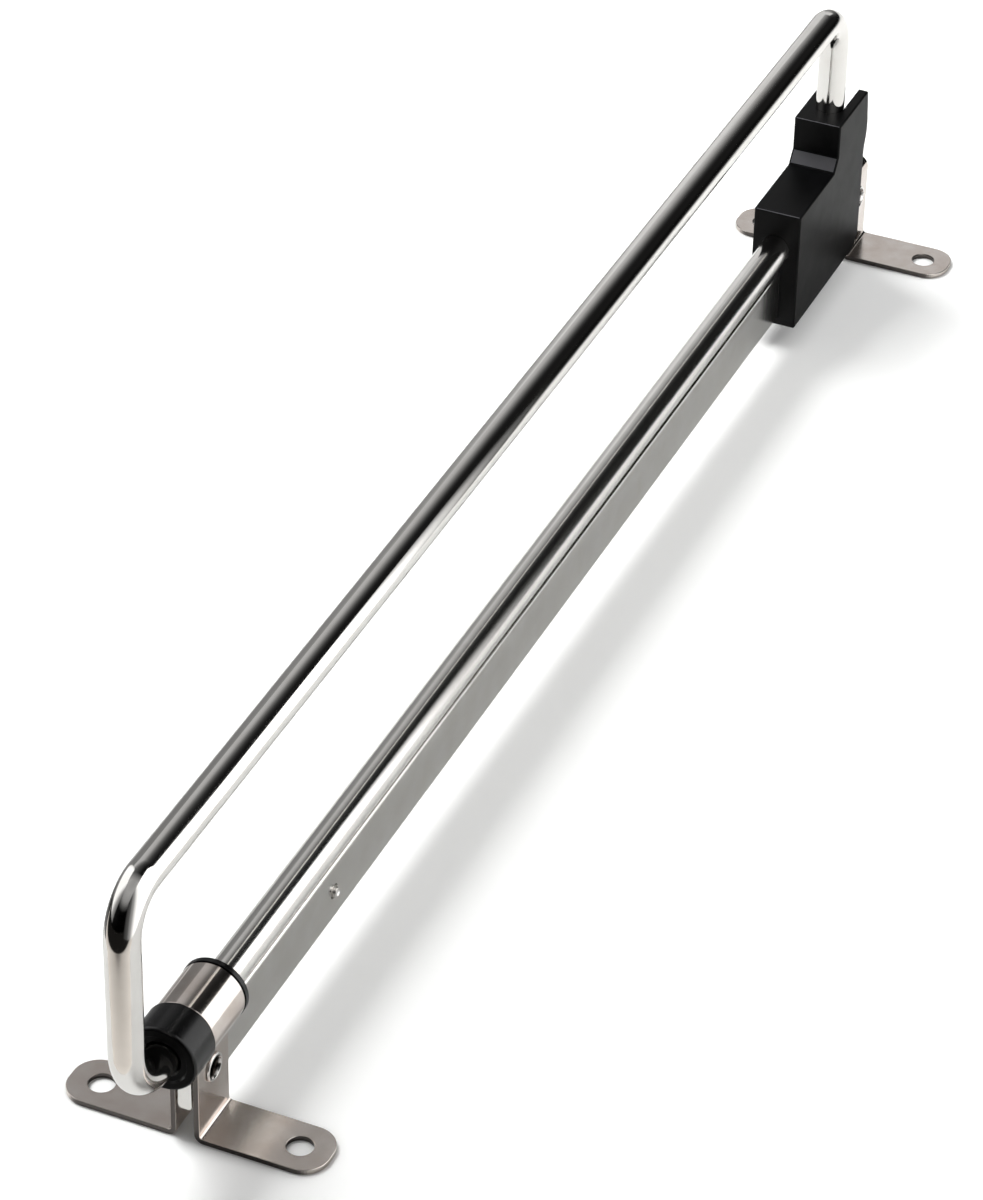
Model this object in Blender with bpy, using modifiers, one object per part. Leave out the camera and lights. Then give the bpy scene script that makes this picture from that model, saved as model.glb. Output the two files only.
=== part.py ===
"""Pull-out clothes rail that is screwed under a wardrobe shelf, shown standing on its feet.

Units are metres.  +X is to the right, +Y runs from the front foot to the rear foot, +Z is up.
The origin is the middle of the closed rail on the plane of its feet.

A bent wire loop slides on two fixed guides: its lower run passes through a plastic bush in the
front bracket, and the plastic carriage that holds its two ends runs along a flat bar.
"""

import math

import bmesh
import bpy
from mathutils import Matrix

# Driving dimensions

LENGTH = 0.400              # closed, from the front of the wire to the back of the rear foot
RUN_GAP = 0.0003            # gap between pieces that touch or slide

WIRE_D = 0.0070             # wire of the hanger loop
LOOP_H = 0.0480             # between the axes of the loop's lower and upper runs
LOW_BEND_R = 0.0125         # bends of the wire, on its axis
HIGH_BEND_R = 0.0090
REAR_BEND_R = 0.0090

SHEET = 0.0012              # strip steel of both brackets
STRIP_W = 0.0130            # width of the strip, along Y
FOOT_SPAN = 0.0565          # tip to tip across both feet
FOOT_BEND_R = 0.0008        # inside radius between foot and ear
NECK_R = 0.0015             # outside radius where the ears open into the loop
SCREW_SPACING = 0.0430
SCREW_HOLE_D = 0.0055

BAR_T = 0.0030              # flat guide bar
BAR_H = 0.0140
BAR_EDGE_R = 0.0014
BAR_LIFT = 0.0076           # bar's lower edge above the plane of the feet
BAR_SETBACK = 0.0002        # bar ends short of the strip's edges
EAR_GAP = 0.0004            # between bar and ear
HAIRPIN_GAP = 0.0005        # between the bar's top and the rear bracket's fold

BUSH_WALL = 0.0016          # plastic bush in the front bracket
BUSH_LIFT = 0.0004          # bush above the bar
HEAD_D = 0.0147
HEAD_LEN = 0.0086
HEAD_EDGE_R = 0.0008
HEAD_DISH_D = 0.0104        # shallow dish in the front of the head
HEAD_DISH_DEPTH = 0.0004
LIP_OVERHANG = 0.0001       # rear lip over the strip's loop
LIP_LEN = 0.0014
CLOSED_CLEAR = 0.0007       # between the head and the start of the wire's bend

RIVET_SHANK_D = 0.0048      # tubular rivets
RIVET_BORE_D = 0.0040
RIVET_FLANGE_D = 0.0064
RIVET_FLANGE_T = 0.0007

STOP_PIN_D = 0.0028         # pin in the bar that stops the carriage
STOP_PIN_PROUD = 0.0008
STOP_PIN_DOME = 0.0003
STOP_PIN_BACK = 0.0577      # from the middle of the front bracket

CARRIAGE_L = 0.0450         # plastic carriage
CARRIAGE_WALL = 0.0022      # beside the wire
CARRIAGE_FLOOR = 0.0012     # under the bar's slot
CARRIAGE_GAP = 0.0005       # to the rear bracket when closed
ROOF_OVER_ROD = 0.0100      # low block's roof above the lower run's axis
TOWER_OVER_ROOF = 0.0119
TOWER_L = 0.0196            # from the tower's front to the back of the carriage
STEP_RUN = 0.0024           # sloping step between roof and tower
STEP_RISE = 0.0031
TOWER_OVERHANG = 0.0015     # tower's back over the rear bracket
TOWER_TAPER = 0.0012        # tower's back leans out towards its foot
OVERHANG_DROP = 0.0040      # from the roof's height down to the end of the overhang
HEEL_CHAMFER = 0.0030
CARRIAGE_EDGE_R = 0.0005
ROD_DEPTH = 0.0270          # lower run inside the carriage
LEG_INSET = 0.0110          # from the back of the carriage to the rear leg's axis
SOCKET_FLOOR = 0.0040       # plastic between the two ends of the wire
MOUTH_FLARE = 0.0007        # the rear leg's groove widens by this on each side at the back
MOUTH_DEPTH = 0.0014

ROUND_STEPS = 32            # facets round a turned piece or a hole
ARC_STEP = math.radians(12)

# Sizes and places that follow

WIRE_R = WIRE_D / 2
BORE_R = WIRE_R + RUN_GAP
BUSH_R = BORE_R + BUSH_WALL
LOOP_IN_R = BUSH_R + RUN_GAP
LOOP_OUT_R = LOOP_IN_R + SHEET
LIP_R = LOOP_OUT_R + LIP_OVERHANG
HEAD_R = HEAD_D / 2

EAR_IN = BAR_T / 2 + EAR_GAP
EAR_MID = EAR_IN + SHEET / 2
EAR_OUT = EAR_IN + SHEET

BAR_TOP = BAR_LIFT + BAR_H
BAR_MID = BAR_LIFT + BAR_H / 2
ROD_Z = BAR_TOP + BUSH_LIFT + BUSH_R
TOP_Z = ROD_Z + LOOP_H

Y_FRONT_LEG = -LENGTH / 2 + WIRE_R
Y_HEAD_FRONT = Y_FRONT_LEG + LOW_BEND_R + CLOSED_CLEAR
Y_HEAD_BACK = Y_HEAD_FRONT + HEAD_LEN
Y_FRONT = Y_HEAD_BACK + RUN_GAP + STRIP_W / 2
Y_REAR = LENGTH / 2 - STRIP_W / 2
Y_STOP_PIN = Y_FRONT + STOP_PIN_BACK

Y_CARRIAGE_BACK = Y_REAR - STRIP_W / 2 - CARRIAGE_GAP
Y_CARRIAGE = Y_CARRIAGE_BACK - CARRIAGE_L
Y_TOWER = Y_CARRIAGE_BACK - TOWER_L
Y_REAR_LEG = Y_CARRIAGE_BACK - LEG_INSET
CARRIAGE_W = 2 * (WIRE_R + RUN_GAP + CARRIAGE_WALL)
CARRIAGE_BOTTOM = BAR_LIFT - RUN_GAP - CARRIAGE_FLOOR
ROOF_Z = ROD_Z + ROOF_OVER_ROD
TOWER_Z = ROOF_Z + TOWER_OVER_ROOF
LEG_END_Z = ROD_Z + WIRE_R + SOCKET_FLOOR

CUT_MARGIN = 0.002          # cutters run this far past what they cut

# Turns a flat outline drawn in X and Y so that it lies across one axis
ACROSS = {
    "X": Matrix(((0, 0, 1), (1, 0, 0), (0, 1, 0))).to_4x4(),
    "Y": Matrix(((1, 0, 0), (0, 0, -1), (0, 1, 0))).to_4x4(),
    "Z": Matrix.Identity(4),
}
# Turns a shape turned about Z so that its axis lies along another
ALONG = {
    "X": Matrix(((0, 0, 1), (0, 1, 0), (-1, 0, 0))).to_4x4(),
    "Y": Matrix(((1, 0, 0), (0, 0, 1), (0, -1, 0))).to_4x4(),
    "Z": Matrix.Identity(4),
}


# Scene and materials

def clear_scene():
    for thing in list(bpy.data.objects):
        bpy.data.objects.remove(thing, do_unlink=True)


def new_collection(name):
    group = bpy.data.collections.new(name)
    bpy.context.scene.collection.children.link(group)
    return group


def finish_material(name, colour, roughness, metallic):
    material = bpy.data.materials.new(name)
    material.use_nodes = True
    shader = material.node_tree.nodes["Principled BSDF"]
    shader.inputs["Base Color"].default_value = (*colour, 1)
    shader.inputs["Roughness"].default_value = roughness
    shader.inputs["Metallic"].default_value = metallic
    return material


# Outlines

def arc(centre, radius, start, end):
    """Points on a circle from one angle to another, both ends included."""
    steps = max(2, math.ceil(abs(end - start) / ARC_STEP))
    points = []
    for i in range(steps + 1):
        angle = start + (end - start) * i / steps
        points.append((centre[0] + radius * math.cos(angle), centre[1] + radius * math.sin(angle)))
    return points


def rounded_rectangle(width, height, radius, centre=(0, 0)):
    points = []
    for side_x, side_y, start in ((1, 1, 0), (-1, 1, 90), (-1, -1, 180), (1, -1, 270)):
        corner = (centre[0] + side_x * (width / 2 - radius), centre[1] + side_y * (height / 2 - radius))
        points += arc(corner, radius, math.radians(start), math.radians(start + 90))
    return points


def strip_outline(half_path):
    """Cross-section of a folded strip.

    half_path is the right half of the strip's middle line as (x, z, normal angle), from the foot's
    tip to the plane of symmetry.  The normal points to the strip's outer face.
    """
    outer = []
    inner = []
    for x, z, angle in half_path:
        step = (math.cos(angle) * SHEET / 2, math.sin(angle) * SHEET / 2)
        outer.append((x + step[0], z + step[1]))
        inner.append((x - step[0], z - step[1]))
    left_outer = [(-x, z) for x, z in reversed(outer[:-1])]
    left_inner = [(-x, z) for x, z in inner[:-1]]
    return outer + left_outer + left_inner + list(reversed(inner))


def bent(centre, radius, start, end, outwards):
    """Bend of a strip's middle line; outwards is 1 where the outer face is the far one."""
    path = []
    steps = max(2, math.ceil(abs(end - start) / ARC_STEP))
    for i in range(steps + 1):
        angle = start + (end - start) * i / steps
        x = centre[0] + radius * math.cos(angle)
        z = centre[1] + radius * math.sin(angle)
        path.append((x, z, angle if outwards == 1 else angle + math.pi))
    return path


def foot_and_ear():
    """Middle line from the foot's tip, past the tip's trim, round the bend into the ear."""
    bend = FOOT_BEND_R + SHEET / 2
    tip = (FOOT_SPAN / 2 + CUT_MARGIN, SHEET / 2, math.pi / 2)
    corner = (EAR_MID + bend, SHEET / 2 + bend)
    return [tip] + bent(corner, bend, -math.pi / 2, -math.pi, -1)


# Solids

def mesh_object(name, mesh, group, material=None):
    thing = bpy.data.objects.new(name, mesh)
    group.objects.link(thing)
    if material:
        thing.data.materials.append(material)
    return thing


def outline_solid(name, points, length, across, middle, group, material=None):
    """Flat outline given thickness along one axis, as a closed mesh with whole end faces."""
    curve = bpy.data.curves.new(name + "_outline", "CURVE")
    curve.dimensions = "2D"
    curve.fill_mode = "BOTH"
    curve.extrude = length / 2
    spline = curve.splines.new("POLY")
    spline.points.add(len(points) - 1)
    for place, point in zip(spline.points, points):
        place.co = (point[0], point[1], 0, 1)
    spline.use_cyclic_u = True
    drawn = mesh_object(name + "_drawn", curve, group)
    bpy.context.view_layer.update()
    mesh = bpy.data.meshes.new_from_object(drawn.evaluated_get(bpy.context.evaluated_depsgraph_get()))
    bpy.data.objects.remove(drawn)
    solid = bmesh.new()
    solid.from_mesh(mesh)
    bmesh.ops.remove_doubles(solid, verts=solid.verts, dist=0.000001)
    bmesh.ops.dissolve_limit(solid, angle_limit=math.radians(0.5), verts=solid.verts, edges=solid.edges)
    bmesh.ops.transform(solid, matrix=ACROSS[across], verts=solid.verts)
    bmesh.ops.recalc_face_normals(solid, faces=solid.faces)
    solid.to_mesh(mesh)
    solid.free()
    mesh.name = name
    thing = mesh_object(name, mesh, group, material)
    thing.location = middle
    return thing


def turned_solid(name, profile, along, place, group, material=None):
    """Closed profile of (radius, height), top to bottom on its outer side, turned about an axis."""
    mesh = bpy.data.meshes.new(name)
    ring = bmesh.new()
    corners = [ring.verts.new((radius, 0, height)) for radius, height in profile]
    for first, second in zip(corners, corners[1:] + corners[:1]):
        ring.edges.new((first, second))
    ring.to_mesh(mesh)
    ring.free()
    thing = mesh_object(name, mesh, group, material)
    thing.matrix_world = Matrix.Translation(place) @ ALONG[along]
    turn = thing.modifiers.new("Turn", "SCREW")
    turn.steps = ROUND_STEPS
    turn.render_steps = ROUND_STEPS
    turn.use_merge_vertices = True
    turn.merge_threshold = 0.000001
    turn.use_smooth_shade = True
    return thing


def round_cutter(name, radius, length, along, middle, group):
    mesh = bpy.data.meshes.new(name)
    solid = bmesh.new()
    bmesh.ops.create_cone(solid, cap_ends=True, segments=ROUND_STEPS, radius1=radius, radius2=radius,
                          depth=length, matrix=ALONG[along])
    solid.to_mesh(mesh)
    solid.free()
    thing = mesh_object(name, mesh, group)
    thing.location = middle
    return as_cutter(thing)


def as_cutter(thing):
    thing.hide_render = True
    thing.display_type = "WIRE"
    return thing


def combine(thing, cutter, operation="DIFFERENCE"):
    step = thing.modifiers.new(cutter.name, "BOOLEAN")
    step.operation = operation
    step.object = cutter
    step.solver = "EXACT"


def soften_edges(thing, width):
    bevel = thing.modifiers.new("Edges", "BEVEL")
    bevel.width = width
    bevel.segments = 2
    bevel.limit_method = "ANGLE"
    bevel.angle_limit = math.radians(40)
    bevel.use_clamp_overlap = True


# Fixed pieces

def trim_strip(bracket, y, cutters):
    """Rounds the tips of both feet, sets the strip's width and drills its holes."""
    tall = ROD_Z + HEAD_R + 2 * CUT_MARGIN
    plan = rounded_rectangle(FOOT_SPAN, STRIP_W, STRIP_W / 2 - SHEET / 4)
    trim = outline_solid(bracket.name + "_plan", plan, 2 * tall, "Z", (0, y, 0), cutters)
    combine(bracket, as_cutter(trim), "INTERSECT")
    for side, word in ((-1, "left"), (1, "right")):
        place = (side * SCREW_SPACING / 2, y, SHEET / 2)
        hole = round_cutter(f"{bracket.name}_{word}_screw_hole", SCREW_HOLE_D / 2, SHEET + CUT_MARGIN,
                            "Z", place, cutters)
        combine(bracket, hole)
    rivet_hole = round_cutter(bracket.name + "_rivet_hole", RIVET_SHANK_D / 2 + RUN_GAP,
                              2 * EAR_OUT + CUT_MARGIN, "X", (0, y, BAR_MID), cutters)
    combine(bracket, rivet_hole)


def make_front_bracket(group, cutters, material):
    """Strip folded from foot to ear, round the bush and back down to the other foot."""
    neck = NECK_R + SHEET / 2
    loop = LOOP_IN_R + SHEET / 2
    reach = EAR_MID + neck
    drop = math.sqrt((loop + neck) ** 2 - reach ** 2)
    turn = math.atan2(drop, reach)
    path = foot_and_ear()
    path += bent((reach, ROD_Z - drop), neck, math.pi, math.pi - turn, -1)
    path += bent((0, ROD_Z), loop, -turn, math.pi / 2, 1)
    bracket = outline_solid("front_bracket", strip_outline(path), STRIP_W + CUT_MARGIN, "Y",
                            (0, Y_FRONT, 0), group, material)
    trim_strip(bracket, Y_FRONT, cutters)


def make_rear_bracket(group, cutters, material):
    """Strip folded from foot to ear, over the top of the bar and back down."""
    fold_z = BAR_TOP + HAIRPIN_GAP - EAR_IN
    path = foot_and_ear()
    path += bent((0, fold_z), EAR_MID, 0, math.pi / 2, 1)
    bracket = outline_solid("rear_bracket", strip_outline(path), STRIP_W + CUT_MARGIN, "Y",
                            (0, Y_REAR, 0), group, material)
    trim_strip(bracket, Y_REAR, cutters)


def make_guide_bar(group, cutters, material):
    start = Y_FRONT - STRIP_W / 2 + BAR_SETBACK
    end = Y_REAR + STRIP_W / 2 - BAR_SETBACK
    section = rounded_rectangle(BAR_T, BAR_H, BAR_EDGE_R)
    bar = outline_solid("guide_bar", section, end - start, "Y", (0, (start + end) / 2, BAR_MID),
                        group, material)
    through = BAR_T + CUT_MARGIN
    for word, y, diameter in (("front_rivet", Y_FRONT, RIVET_SHANK_D),
                              ("rear_rivet", Y_REAR, RIVET_SHANK_D),
                              ("stop_pin", Y_STOP_PIN, STOP_PIN_D)):
        hole = round_cutter(f"bar_{word}_hole", diameter / 2 + RUN_GAP, through, "X",
                            (0, y, BAR_MID), cutters)
        combine(bar, hole)


def make_rivet(name, y, group, material):
    """Tubular rivet: a shank through both ears and the bar, rolled over outside each ear."""
    bore = RIVET_BORE_D / 2
    shank = RIVET_SHANK_D / 2
    flange = RIVET_FLANGE_D / 2
    seat = EAR_OUT + RUN_GAP
    top = seat + RIVET_FLANGE_T
    roll = RIVET_FLANGE_T / 2
    rim = arc((flange - roll, top - roll), roll, math.pi / 2, -math.pi / 2)
    profile = [(bore, top - roll), (bore + roll, top)] + rim + [(shank, seat)]
    profile += [(radius, -height) for radius, height in reversed(profile)]
    turned_solid(name, profile, "X", (0, y, BAR_MID), group, material)


def make_stop_pin(group, material):
    """Pin through the bar with domed ends that stand proud of both sides."""
    radius = STOP_PIN_D / 2
    end = BAR_T / 2 + STOP_PIN_PROUD
    mesh = bpy.data.meshes.new("stop_pin")
    solid = bmesh.new()
    bmesh.ops.create_cone(solid, cap_ends=True, segments=ROUND_STEPS // 2, radius1=radius,
                          radius2=radius, depth=2 * end, matrix=ALONG["X"])
    solid.to_mesh(mesh)
    solid.free()
    pin = mesh_object("stop_pin", mesh, group, material)
    pin.location = (0, Y_STOP_PIN, BAR_MID)
    soften_edges(pin, STOP_PIN_DOME)


def make_bush(group, cutters, material):
    """Spool-shaped bush: a thick head in front of the bracket's loop, a thin lip behind it."""
    front = Y_HEAD_FRONT - Y_FRONT
    waist_front = Y_HEAD_BACK - Y_FRONT
    waist_back = STRIP_W / 2 + RUN_GAP
    dish = HEAD_DISH_D / 2
    rim = HEAD_R - HEAD_EDGE_R
    profile = [(BORE_R, waist_back + LIP_LEN), (LIP_R, waist_back + LIP_LEN), (LIP_R, waist_back),
               (BUSH_R, waist_back), (BUSH_R, waist_front), (HEAD_R, waist_front)]
    profile += arc((rim, front + HEAD_EDGE_R), HEAD_EDGE_R, 0, -math.pi / 2)
    profile += [(dish + HEAD_DISH_DEPTH, front), (dish, front + HEAD_DISH_DEPTH),
                (BORE_R, front + HEAD_DISH_DEPTH)]
    bush = turned_solid("guide_bush", profile, "Y", (0, Y_FRONT, ROD_Z), group, material)
    notch = rounded_rectangle(BAR_T + 2 * RUN_GAP, BAR_H + 2 * RUN_GAP, BAR_EDGE_R)
    cutter = outline_solid("bush_notch", notch, LIP_LEN + 2 * CUT_MARGIN, "Y",
                           (0, Y_FRONT + waist_back + LIP_LEN / 2, BAR_MID), cutters)
    combine(bush, as_cutter(cutter))


# Moving pieces

def make_hanger_rail(group, material):
    """One wire: lower run, front leg, upper run and rear leg, both ends held in the carriage."""
    low = (Y_FRONT_LEG + LOW_BEND_R, ROD_Z + LOW_BEND_R)
    high = (Y_FRONT_LEG + HIGH_BEND_R, TOP_Z - HIGH_BEND_R)
    rear = (Y_REAR_LEG - REAR_BEND_R, TOP_Z - REAR_BEND_R)
    route = [(Y_CARRIAGE + ROD_DEPTH, ROD_Z)]
    route += arc(low, LOW_BEND_R, -math.pi / 2, -math.pi)
    route += arc(high, HIGH_BEND_R, math.pi, math.pi / 2)
    route += arc(rear, REAR_BEND_R, math.pi / 2, 0)
    route += [(Y_REAR_LEG, LEG_END_Z)]
    curve = bpy.data.curves.new("hanger_rail", "CURVE")
    curve.dimensions = "3D"
    curve.bevel_depth = WIRE_R
    curve.bevel_resolution = 8
    curve.use_fill_caps = True
    spline = curve.splines.new("POLY")
    spline.points.add(len(route) - 1)
    for place, (y, z) in zip(spline.points, route):
        place.co = (0, y, z, 1)
    mesh_object("hanger_rail", curve, group, material)


def carriage_outline():
    """Side view of the carriage: a low block with a tower at its back that leans over the bracket."""
    back = Y_CARRIAGE_BACK
    crest = back + TOWER_OVERHANG
    half_drop = OVERHANG_DROP / 2
    points = [(Y_CARRIAGE, CARRIAGE_BOTTOM), (Y_CARRIAGE, ROOF_Z)]
    points += [(Y_TOWER - STEP_RUN, ROOF_Z), (Y_TOWER, ROOF_Z + STEP_RISE)]
    points += [(Y_TOWER, TOWER_Z), (crest - TOWER_TAPER, TOWER_Z), (crest, ROOF_Z + half_drop)]
    points += [(crest, ROOF_Z), (back, ROOF_Z - OVERHANG_DROP)]
    points += [(back, CARRIAGE_BOTTOM + HEEL_CHAMFER), (back - HEEL_CHAMFER, CARRIAGE_BOTTOM)]
    return points


def leg_groove_outline():
    """Plan of the groove that the rear leg is pressed into: round in front, open at the back."""
    mouth = Y_CARRIAGE_BACK + TOWER_OVERHANG - Y_REAR_LEG
    flare = BORE_R + MOUTH_FLARE * (1 + CUT_MARGIN / MOUTH_DEPTH)
    side = [(BORE_R, mouth - MOUTH_DEPTH), (flare, mouth + CUT_MARGIN)]
    return arc((0, 0), BORE_R, -math.pi, 0) + side + [(-x, y) for x, y in reversed(side)]


def make_carriage(group, cutters, material):
    """Moulded block with a slot for the bar, a socket for the lower run and a groove for the leg."""
    block = outline_solid("carriage", carriage_outline(), CARRIAGE_W, "X", (0, 0, 0), group, material)
    soften_edges(block, CARRIAGE_EDGE_R)
    slot = rounded_rectangle(BAR_T + 2 * RUN_GAP, BAR_H + 2 * RUN_GAP, BAR_EDGE_R)
    long_cut = CARRIAGE_L + 2 * CUT_MARGIN
    bar_slot = outline_solid("carriage_bar_slot", slot, long_cut, "Y",
                             (0, Y_CARRIAGE + CARRIAGE_L / 2, BAR_MID), cutters)
    rod_depth = ROD_DEPTH + RUN_GAP + CUT_MARGIN
    rod_socket = round_cutter("carriage_rod_socket", BORE_R, rod_depth, "Y",
                              (0, Y_CARRIAGE - CUT_MARGIN + rod_depth / 2, ROD_Z), cutters)
    leg_floor = LEG_END_Z - RUN_GAP
    leg_depth = TOWER_Z + CUT_MARGIN - leg_floor
    leg_groove = outline_solid("carriage_leg_groove", leg_groove_outline(), leg_depth, "Z",
                               (0, Y_REAR_LEG, leg_floor + leg_depth / 2), cutters)
    for cutter in (as_cutter(bar_slot), rod_socket, as_cutter(leg_groove)):
        combine(block, cutter)


def main():
    clear_scene()
    group = new_collection("pull_out_clothes_rail")
    cutters = new_collection("cutters")
    strip = finish_material("nickel_strip", (0.56, 0.54, 0.52), 0.30, 1.0)
    bar = finish_material("nickel_bar", (0.60, 0.59, 0.57), 0.25, 1.0)
    wire = finish_material("polished_wire", (0.80, 0.79, 0.77), 0.08, 1.0)
    rivet = finish_material("plated_rivet", (0.66, 0.64, 0.62), 0.20, 1.0)
    bush = finish_material("bush_plastic", (0.012, 0.012, 0.013), 0.38, 0.0)
    block = finish_material("carriage_plastic", (0.016, 0.016, 0.017), 0.50, 0.0)
    make_front_bracket(group, cutters, strip)
    make_rear_bracket(group, cutters, strip)
    make_guide_bar(group, cutters, bar)
    make_rivet("front_rivet", Y_FRONT, group, rivet)
    make_rivet("rear_rivet", Y_REAR, group, rivet)
    make_stop_pin(group, rivet)
    make_bush(group, cutters, bush)
    make_hanger_rail(group, wire)
    make_carriage(group, cutters, block)


main()
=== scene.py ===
"""Looks of the pull-out clothes rail, closed, standing on its feet on a pale floor.

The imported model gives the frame; each of its pieces is modelled again here in finer shape and
finish, in metres and in the same place.
"""

import math

import bmesh
import bpy
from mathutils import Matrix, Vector


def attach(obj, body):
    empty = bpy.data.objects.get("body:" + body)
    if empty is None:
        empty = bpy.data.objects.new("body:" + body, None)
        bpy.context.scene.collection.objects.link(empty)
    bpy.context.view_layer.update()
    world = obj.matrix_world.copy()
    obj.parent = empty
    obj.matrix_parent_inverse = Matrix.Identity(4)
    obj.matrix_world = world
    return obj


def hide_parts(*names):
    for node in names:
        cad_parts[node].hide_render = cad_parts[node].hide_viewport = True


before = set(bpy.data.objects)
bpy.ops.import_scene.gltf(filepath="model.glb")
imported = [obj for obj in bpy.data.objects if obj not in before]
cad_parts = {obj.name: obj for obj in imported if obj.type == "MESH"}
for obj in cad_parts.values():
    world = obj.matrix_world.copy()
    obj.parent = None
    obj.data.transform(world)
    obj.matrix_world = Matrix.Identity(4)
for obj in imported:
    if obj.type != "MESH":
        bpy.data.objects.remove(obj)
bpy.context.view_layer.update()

# Wire of the hanger loop, its bends and places on the wire's axis
WIRE_R = 0.0035
LOW_BEND_R = 0.0125
HIGH_BEND_R = 0.0090
REAR_BEND_R = 0.0090
ROD_Z = 0.0274
TOP_Z = 0.0754
LEG_END_Z = 0.0349
Y_FRONT_LEG = -0.1965
Y_REAR_LEG = 0.1755
Y_ROD_END = 0.1685

# Folded strips, their bends on the strip's middle line
SHEET = 0.0012
STRIP_W = 0.0130
FOOT_TIP = 0.02825
FOOT_BEND_R = 0.0014
TIP_R = 0.0055
NECK_R = 0.0021
LOOP_R = 0.0063
EAR_MID = 0.0025
EAR_OUT = 0.0031
SCREW_X = 0.0215
SCREW_HOLE_R = 0.00275
Y_FRONT = -0.1679
Y_REAR = 0.1935
HAIRPIN_Z = 0.0202
STRIP_BREAK = 0.00016       # width of the broken edges
# Painted shade goes on the strip's screw-hole walls and cut sides, picked out by these limits
HOLE_WALL = 0.0001          # faces this near to a screw hole are its wall
CUT_SIDE_FROM = 0.80        # a normal that reaches this along Y starts to be a cut side
CUT_SIDE_OVER = 0.17

# Flat bar
BAR_T = 0.0030
BAR_H = 0.0140
BAR_EDGE_R = 0.0009
BAR_MID = 0.0146
BAR_FRONT = -0.1742
BAR_BACK = 0.1998
BAR_BREAK = 0.00015

# Tubular rivets
RIVET_BORE_R = 0.0020
RIVET_SHANK_R = 0.0024
RIVET_FLANGE_R = 0.0031
RIVET_ROLL = 0.00026
RIVET_MOUTH_R = 0.0025
RIVET_MOUTH_EDGE = 0.00012
RIVET_THROAT = 0.0001       # how much wider the bore is under its mouth
RIVET_THROAT_IN = 0.0002    # depths of throat and bore under the ear's face
RIVET_BORE_IN = 0.0012
# Painted shade in a rivet's bore: it darkens over this reach along X, from the rim inwards
BORE_SHADE_REACH = (0.00335, 0.0030)  # reach along X from the bright rim to the dark bore

# Stop pin in the bar
STOP_PIN_R = 0.0014
STOP_PIN_GAP = 0.00025
STOP_PIN_NECK_R = 0.0012
STOP_PIN_NECK_STEP = 0.0002
STOP_PIN_EDGE_R = 0.0001
STOP_PIN_END = 0.0023
STOP_PIN_DISH = ((0.0009, 0), (0.0007, 0.0002), (0.0004, 0.00032), (0.0001, 0.00035))
Y_STOP_PIN = -0.1102

# Plastic bush
BUSH_BORE_R = 0.0038
BUSH_BORE_EDGE = 0.0002
BUSH_R = 0.0054
BUSH_EDGE = 0.0003
LIP_R = 0.0070
HEAD_R = 0.00735
HEAD_EDGE_R = 0.0008
HEAD_DISH_R = 0.0052
HEAD_DISH_DEPTH = 0.0004
HEAD_FRONT_DEPTH = 0.001    # the dull front of the head, with its dish
HEAD_FACING = 0.8
Y_HEAD_FRONT = -0.1833
Y_HEAD_BACK = -0.1747
Y_LIP_FRONT = -0.1611
Y_LIP_BACK = -0.1597
NOTCH_L = 0.005

# Plastic carriage
CARRIAGE_W = 0.0120
Y_CARRIAGE = 0.1415
Y_CARRIAGE_BACK = 0.1865
Y_TOWER = 0.1669
CARRIAGE_BOTTOM = 0.0061
ROOF_Z = 0.0374
TOWER_Z = 0.0493
STEP_RUN = 0.0024
STEP_RISE = 0.0031
STEP_FACING = 0.985
TOWER_OVERHANG = 0.0015
TOWER_TAPER = 0.0012
OVERHANG_DROP = 0.0040
OVERHANG_R = 0.0014
HEEL_CHAMFER = 0.0030
CARRIAGE_BREAK = 0.00045
GROOVE_FLARE = 0.0007
GROOVE_FLARE_RUN = 0.0014

SLACK = 0.00006             # gap that shows round a piece in its hole
PAST = 0.004                # cutters run this far past what they cut
FOOT_DRILL = 0.006          # lengths of the drills that go right through
EAR_DRILL = 0.010
BAR_DRILL = 0.008
FACING = 0.9                # a face looks along an axis where its normal reaches this
TINY = 0.00002
MERGE = 0.000002

ALONG_X = (0, math.pi / 2, 0)
ALONG_Y = (math.pi / 2, 0, 0)

# Grain of plate and plastic
PATCH_SCALE = 160
CLOUD_SCALE = 220
SOFT_DETAIL = 3.0
FINE_DETAIL = 2.0
GRAIN_ROUGHNESS = 0.55
GRAIN_RANGE = (0.3, 0.7)    # where most of a noise lies
PLATE_RELIEF = 0.35
PLASTIC_RELIEF = 0.5

# Floor and studio
FLOOR_SIZE = 9
FLOOR_TONE = (0.83, 0.835, 0.825)
GLOW = (0.36, 1.0)          # glow of the floor, near and far
GLOW_REACH = (0.36, 1.3)
METAL_GLOW = 0.05
# Painted contact shade: the floor's glow is dimmed near the parts over it
CORNER_REACH = 0.007        # the glow fades in corners closer than this
CORNER_POWER = 2.6
ROOM_FILL = (0.155, 0.155, 0.155)
WHITE = (1, 1, 1)
LEFT_X = -0.5               # upright cards
RIGHT_X = 0.164
REAR_Y = 0.6
CARD_Z = 0.0005             # flat cards, just over the floor, and how far they go out
CARD_END = 4.4


# Modelling by hand

def put_down():
    bpy.ops.object.select_all(action="DESELECT")


def take_up(piece):
    put_down()
    piece.select_set(True)
    bpy.context.view_layer.objects.active = piece


def start_piece(name, stretch=(1, 1, 1), pick="VERT"):
    """Names the primitive just added, sets its place and size into its mesh and opens it."""
    piece = bpy.context.active_object
    piece.name = name
    piece.data.name = name
    piece.scale = stretch
    bpy.ops.object.transform_apply(location=True, rotation=True, scale=True)
    bpy.ops.object.mode_set(mode="EDIT")
    bpy.ops.mesh.select_mode(type=pick)
    bpy.ops.mesh.select_all(action="SELECT")
    return piece


def open_again(piece):
    take_up(piece)
    bpy.ops.object.mode_set(mode="EDIT")
    bpy.ops.mesh.select_all(action="SELECT")


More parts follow.
